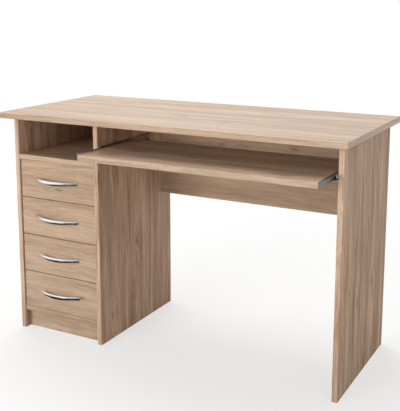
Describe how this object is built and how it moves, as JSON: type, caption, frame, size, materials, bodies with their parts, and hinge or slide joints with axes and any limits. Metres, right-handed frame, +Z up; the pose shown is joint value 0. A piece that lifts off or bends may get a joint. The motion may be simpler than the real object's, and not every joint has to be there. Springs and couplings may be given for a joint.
{
  "type": "computer desk",
  "caption": "Flat-pack computer desk in light oak laminate with a drawer pedestal, open compartment, modesty panel and pull-out keyboard tray.",
  "frame": {"origin": "floor level, in the middle of the width and depth of the desk with its tray drawn out as at rest", "axes": "+X to the sitter's right along the desk, +Y from the sitter towards the back, +Z up"},
  "size_m": [1.16, 0.598, 0.74],
  "materials": {
    "oak_laminate": "satin light oak melamine with a fine streaky grain",
    "oak_print_hardboard": "hardboard printed to match the oak in front, plain brown behind",
    "drawer_board": "foil-wrapped chipboard, pale and smooth",
    "white_hardboard": "white lacquered hardboard",
    "zinc_plated_steel": "bright zinc plate",
    "white_nylon": "matt nylon",
    "satin_chrome": "satin chrome"
  },
  "bodies": {
    "carcass": {"top_panel": "oak_laminate", "left_side_panel": "oak_laminate", "inner_side_panel": "oak_laminate", "right_side_panel": "oak_laminate", "compartment_shelf": "oak_laminate", "pedestal_bottom": "oak_laminate", "plinth": "oak_laminate", "modesty_panel": "oak_laminate", "pedestal_back": "oak_print_hardboard", "drawer_1_cabinet_rails": "zinc_plated_steel", "drawer_2_cabinet_rails": "zinc_plated_steel", "drawer_3_cabinet_rails": "zinc_plated_steel", "drawer_4_cabinet_rails": "zinc_plated_steel", "tray_cabinet_rails": "zinc_plated_steel"},
    "drawer_1": {"drawer_1_front": "oak_laminate", "drawer_1_left_side": "drawer_board", "drawer_1_right_side": "drawer_board", "drawer_1_back": "drawer_board", "drawer_1_bottom": "white_hardboard", "drawer_1_handle": "satin_chrome", "drawer_1_moving_rails": "zinc_plated_steel"},
    "drawer_1_front_rollers": {"drawer_1_front_rollers": "white_nylon"},
    "drawer_1_rear_rollers": {"drawer_1_rear_rollers": "white_nylon"},
    "drawer_2": {"drawer_2_front": "oak_laminate", "drawer_2_left_side": "drawer_board", "drawer_2_right_side": "drawer_board", "drawer_2_back": "drawer_board", "drawer_2_bottom": "white_hardboard", "drawer_2_handle": "satin_chrome", "drawer_2_moving_rails": "zinc_plated_steel"},
    "drawer_2_front_rollers": {"drawer_2_front_rollers": "white_nylon"},
    "drawer_2_rear_rollers": {"drawer_2_rear_rollers": "white_nylon"},
    "drawer_3": {"drawer_3_front": "oak_laminate", "drawer_3_left_side": "drawer_board", "drawer_3_right_side": "drawer_board", "drawer_3_back": "drawer_board", "drawer_3_bottom": "white_hardboard", "drawer_3_handle": "satin_chrome", "drawer_3_moving_rails": "zinc_plated_steel"},
    "drawer_3_front_rollers": {"drawer_3_front_rollers": "white_nylon"},
    "drawer_3_rear_rollers": {"drawer_3_rear_rollers": "white_nylon"},
    "drawer_4": {"drawer_4_front": "oak_laminate", "drawer_4_left_side": "drawer_board", "drawer_4_right_side": "drawer_board", "drawer_4_back": "drawer_board", "drawer_4_bottom": "white_hardboard", "drawer_4_handle": "satin_chrome", "drawer_4_moving_rails": "zinc_plated_steel"},
    "drawer_4_front_rollers": {"drawer_4_front_rollers": "white_nylon"},
    "drawer_4_rear_rollers": {"drawer_4_rear_rollers": "white_nylon"},
    "tray": {"tray_panel": "oak_laminate", "tray_moving_rails": "zinc_plated_steel"},
    "tray_front_rollers": {"tray_front_rollers": "white_nylon"},
    "tray_rear_rollers": {"tray_rear_rollers": "white_nylon"}
  },
  "joints": [
    {"name": "drawer_1_slide", "type": "slide", "parent": "carcass", "child": "drawer_1", "axis": [0, -1, 0], "range_m": [0, 0.3]},
    {"name": "drawer_1_front_roll", "type": "hinge", "parent": "carcass", "child": "drawer_1_front_rollers", "pos_m": [-0.542, -0.144, 0.478], "axis": [1, 0, 0], "continuous": true},
    {"name": "drawer_1_rear_roll", "type": "hinge", "parent": "drawer_1", "child": "drawer_1_rear_rollers", "pos_m": [-0.542, 0.23, 0.478], "axis": [1, 0, 0], "continuous": true},
    {"name": "drawer_2_slide", "type": "slide", "parent": "carcass", "child": "drawer_2", "axis": [0, -1, 0], "range_m": [0, 0.3]},
    {"name": "drawer_2_front_roll", "type": "hinge", "parent": "carcass", "child": "drawer_2_front_rollers", "pos_m": [-0.542, -0.144, 0.3515], "axis": [1, 0, 0], "continuous": true},
    {"name": "drawer_2_rear_roll", "type": "hinge", "parent": "drawer_2", "child": "drawer_2_rear_rollers", "pos_m": [-0.542, 0.23, 0.3515], "axis": [1, 0, 0], "continuous": true},
    {"name": "drawer_3_slide", "type": "slide", "parent": "carcass", "child": "drawer_3", "axis": [0, -1, 0], "range_m": [0, 0.3]},
    {"name": "drawer_3_front_roll", "type": "hinge", "parent": "carcass", "child": "drawer_3_front_rollers", "pos_m": [-0.542, -0.144, 0.225], "axis": [1, 0, 0], "continuous": true},
    {"name": "drawer_3_rear_roll", "type": "hinge", "parent": "drawer_3", "child": "drawer_3_rear_rollers", "pos_m": [-0.542, 0.23, 0.225], "axis": [1, 0, 0], "continuous": true},
    {"name": "drawer_4_slide", "type": "slide", "parent": "carcass", "child": "drawer_4", "axis": [0, -1, 0], "range_m": [0, 0.3]},
    {"name": "drawer_4_front_roll", "type": "hinge", "parent": "carcass", "child": "drawer_4_front_rollers", "pos_m": [-0.542, -0.144, 0.0985], "axis": [1, 0, 0], "continuous": true},
    {"name": "drawer_4_rear_roll", "type": "hinge", "parent": "drawer_4", "child": "drawer_4_rear_rollers", "pos_m": [-0.542, 0.23, 0.0985], "axis": [1, 0, 0], "continuous": true},
    {"name": "tray_slide", "type": "slide", "parent": "carcass", "child": "tray", "axis": [0, -1, 0], "range_m": [-0.12, 0.1]},
    {"name": "tray_front_roll", "type": "hinge", "parent": "carcass", "child": "tray_front_rollers", "pos_m": [-0.23, -0.165, 0.6373], "axis": [1, 0, 0], "continuous": true},
    {"name": "tray_rear_roll", "type": "hinge", "parent": "tray", "child": "tray_rear_rollers", "pos_m": [-0.23, -0.001, 0.6373], "axis": [1, 0, 0], "continuous": true}
  ],
  "couplings": [
    {"joint": "drawer_1_front_roll", "follows": "drawer_1_slide", "rad_per_m": 125},
    {"joint": "drawer_1_rear_roll", "follows": "drawer_1_slide", "rad_per_m": 125},
    {"joint": "drawer_2_front_roll", "follows": "drawer_2_slide", "rad_per_m": 125},
    {"joint": "drawer_2_rear_roll", "follows": "drawer_2_slide", "rad_per_m": 125},
    {"joint": "drawer_3_front_roll", "follows": "drawer_3_slide", "rad_per_m": 125},
    {"joint": "drawer_3_rear_roll", "follows": "drawer_3_slide", "rad_per_m": 125},
    {"joint": "drawer_4_front_roll", "follows": "drawer_4_slide", "rad_per_m": 125},
    {"joint": "drawer_4_rear_roll", "follows": "drawer_4_slide", "rad_per_m": 125},
    {"joint": "tray_front_roll", "follows": "tray_slide", "rad_per_m": 125},
    {"joint": "tray_rear_roll", "follows": "tray_slide", "rad_per_m": 125}
  ]
}
